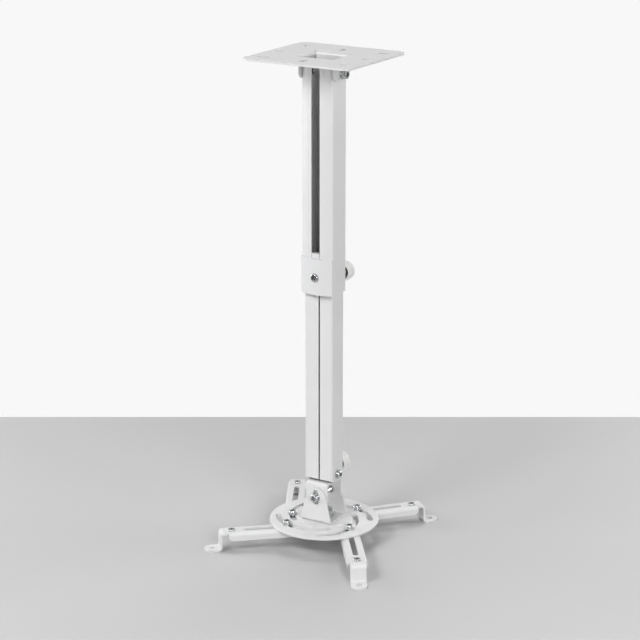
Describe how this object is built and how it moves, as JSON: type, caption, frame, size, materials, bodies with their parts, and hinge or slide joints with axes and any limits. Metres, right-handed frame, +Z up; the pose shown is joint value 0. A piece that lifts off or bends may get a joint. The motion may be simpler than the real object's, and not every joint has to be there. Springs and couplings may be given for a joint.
{
  "type": "projector ceiling mount",
  "caption": "Telescopic ceiling mount: slotted plate, hinged sliding pole with clamp knob, tilting bracket and swivel disc with adjustable folded arms that bolt to a projector.",
  "frame": {"origin": "middle of the ceiling plate's top face, in the centre of its four side slots", "axes": "+Z up along the pole and out of the ceiling face, X along the hinge bolts under the plate, -Y the slotted front of the pole"},
  "size_m": [0.197, 0.2011, 0.5],
  "materials": {
    "powder_coat": "white satin powder coat",
    "zinc_steel": "bright zinc plate",
    "white_plastic": "white moulded plastic"
  },
  "bodies": {
    "ceiling_plate": {"ceiling_plate": "powder_coat", "ceiling_bolts": "zinc_steel", "ceiling_washers": "zinc_steel", "ceiling_nuts": "zinc_steel"},
    "outer_pole": {"outer_pole": "powder_coat", "pole_cap": "white_plastic", "cap_screw": "zinc_steel", "collar_nut": "zinc_steel"},
    "collar_knob": {"collar_knob": "white_plastic", "collar_stud": "zinc_steel"},
    "inner_pole": {"inner_pole": "powder_coat", "pitch_bolt": "zinc_steel", "pitch_washers": "zinc_steel", "pitch_nut": "zinc_steel", "lower_nut": "zinc_steel"},
    "lower_knob": {"lower_knob": "white_plastic", "lower_stud": "zinc_steel"},
    "saddle": {"saddle": "powder_coat", "pitch_sleeve": "zinc_steel"},
    "roll_screws": {"roll_screws": "zinc_steel", "roll_washers": "zinc_steel", "roll_nuts": "zinc_steel"},
    "yoke": {"yoke": "powder_coat", "swivel_bolt": "zinc_steel", "swivel_washer": "zinc_steel", "swivel_nut": "zinc_steel"},
    "disc": {"disc": "powder_coat"},
    "clamp_left": {"clamp_screw_left": "zinc_steel", "clamp_washer_left": "zinc_steel"},
    "nut_left": {"arm_nut_left": "zinc_steel"},
    "arm_left": {"arm_left": "powder_coat", "end_screw_left": "zinc_steel", "end_nut_left": "zinc_steel"},
    "clamp_front": {"clamp_screw_front": "zinc_steel", "clamp_washer_front": "zinc_steel"},
    "nut_front": {"arm_nut_front": "zinc_steel"},
    "arm_front": {"arm_front": "powder_coat", "end_screw_front": "zinc_steel", "end_nut_front": "zinc_steel"},
    "clamp_right": {"clamp_screw_right": "zinc_steel", "clamp_washer_right": "zinc_steel"},
    "nut_right": {"arm_nut_right": "zinc_steel"},
    "arm_right": {"arm_right": "powder_coat", "end_screw_right": "zinc_steel", "end_nut_right": "zinc_steel"},
    "clamp_back": {"clamp_screw_back": "zinc_steel", "clamp_washer_back": "zinc_steel"},
    "nut_back": {"arm_nut_back": "zinc_steel"},
    "arm_back": {"arm_back": "powder_coat", "end_screw_back": "zinc_steel", "end_nut_back": "zinc_steel"}
  },
  "joints": [
    {"name": "pole_tilt", "type": "hinge", "parent": "ceiling_plate", "child": "outer_pole", "pos_m": [0, 0, -0.0165], "axis": [1, 0, 0], "range_deg": [-6, 6]},
    {"name": "collar_turn", "type": "hinge", "parent": "outer_pole", "child": "collar_knob", "pos_m": [0, 0, -0.2242], "axis": [0, 1, 0], "range_deg": [0, 360]},
    {"name": "pole_slide", "type": "slide", "parent": "outer_pole", "child": "inner_pole", "axis": [0, 0, 1], "range_m": [-0.02, 0.15]},
    {"name": "lower_turn", "type": "hinge", "parent": "inner_pole", "child": "lower_knob", "pos_m": [0, 0, -0.427], "axis": [0, 1, 0], "range_deg": [0, 360]},
    {"name": "pitch", "type": "hinge", "parent": "inner_pole", "child": "saddle", "pos_m": [0, 0, -0.427], "axis": [1, 0, 0], "range_deg": [-8, 8]},
    {"name": "roll", "type": "hinge", "parent": "saddle", "child": "roll_screws", "pos_m": [0, 0, -0.4505], "axis": [0, 1, 0], "range_deg": [-15, 15]},
    {"name": "yoke_lift", "type": "slide", "parent": "roll_screws", "child": "yoke", "axis": [0, 0, 1], "range_m": [-0.005, 0.005]},
    {"name": "swivel", "type": "hinge", "parent": "yoke", "child": "disc", "pos_m": [0, 0, -0.4805], "axis": [0, 0, 1], "continuous": true},
    {"name": "travel_left", "type": "hinge", "parent": "disc", "child": "clamp_left", "pos_m": [-0.01004, 0.00232, -0.4805], "axis": [0, 0, 1], "range_deg": [-12, 35]},
    {"name": "swing_left", "type": "hinge", "parent": "clamp_left", "child": "nut_left", "pos_m": [-0.02266, -0.03543, -0.4805], "axis": [0, 0, 1], "range_deg": [-25, 25]},
    {"name": "reach_left", "type": "slide", "parent": "nut_left", "child": "arm_left", "axis": [-0.749, -0.6626, 0], "range_m": [-0.01, 0.01]},
    {"name": "travel_front", "type": "hinge", "parent": "disc", "child": "clamp_front", "pos_m": [-0.00232, -0.01004, -0.4805], "axis": [0, 0, 1], "range_deg": [-35, 12]},
    {"name": "swing_front", "type": "hinge", "parent": "clamp_front", "child": "nut_front", "pos_m": [0.03743, -0.01212, -0.4805], "axis": [0, 0, 1], "range_deg": [-30, 25]},
    {"name": "reach_front", "type": "slide", "parent": "nut_front", "child": "arm_front", "axis": [0.5962, -0.8028, 0], "range_m": [-0.008, 0.022]},
    {"name": "travel_right", "type": "hinge", "parent": "disc", "child": "clamp_right", "pos_m": [0.01004, -0.00232, -0.4805], "axis": [0, 0, 1], "range_deg": [-15, 35]},
    {"name": "swing_right", "type": "hinge", "parent": "clamp_right", "child": "nut_right", "pos_m": [0.01763, 0.03675, -0.4805], "axis": [0, 0, 1], "range_deg": [-25, 25]},
    {"name": "reach_right", "type": "slide", "parent": "nut_right", "child": "arm_right", "axis": [0.6494, 0.7604, 0], "range_m": [-0.01, 0.0075]},
    {"name": "travel_back", "type": "hinge", "parent": "disc", "child": "clamp_back", "pos_m": [0.00232, 0.01004, -0.4805], "axis": [0, 0, 1], "range_deg": [-40, 8]},
    {"name": "swing_back", "type": "hinge", "parent": "clamp_back", "child": "nut_back", "pos_m": [-0.03215, -0.00986, -0.4805], "axis": [0, 0, 1], "range_deg": [-25, 30]},
    {"name": "reach_back", "type": "slide", "parent": "nut_back", "child": "arm_back", "axis": [-0.4848, 0.8746, 0], "range_m": [-0.004, 0.0005]}
  ]
}
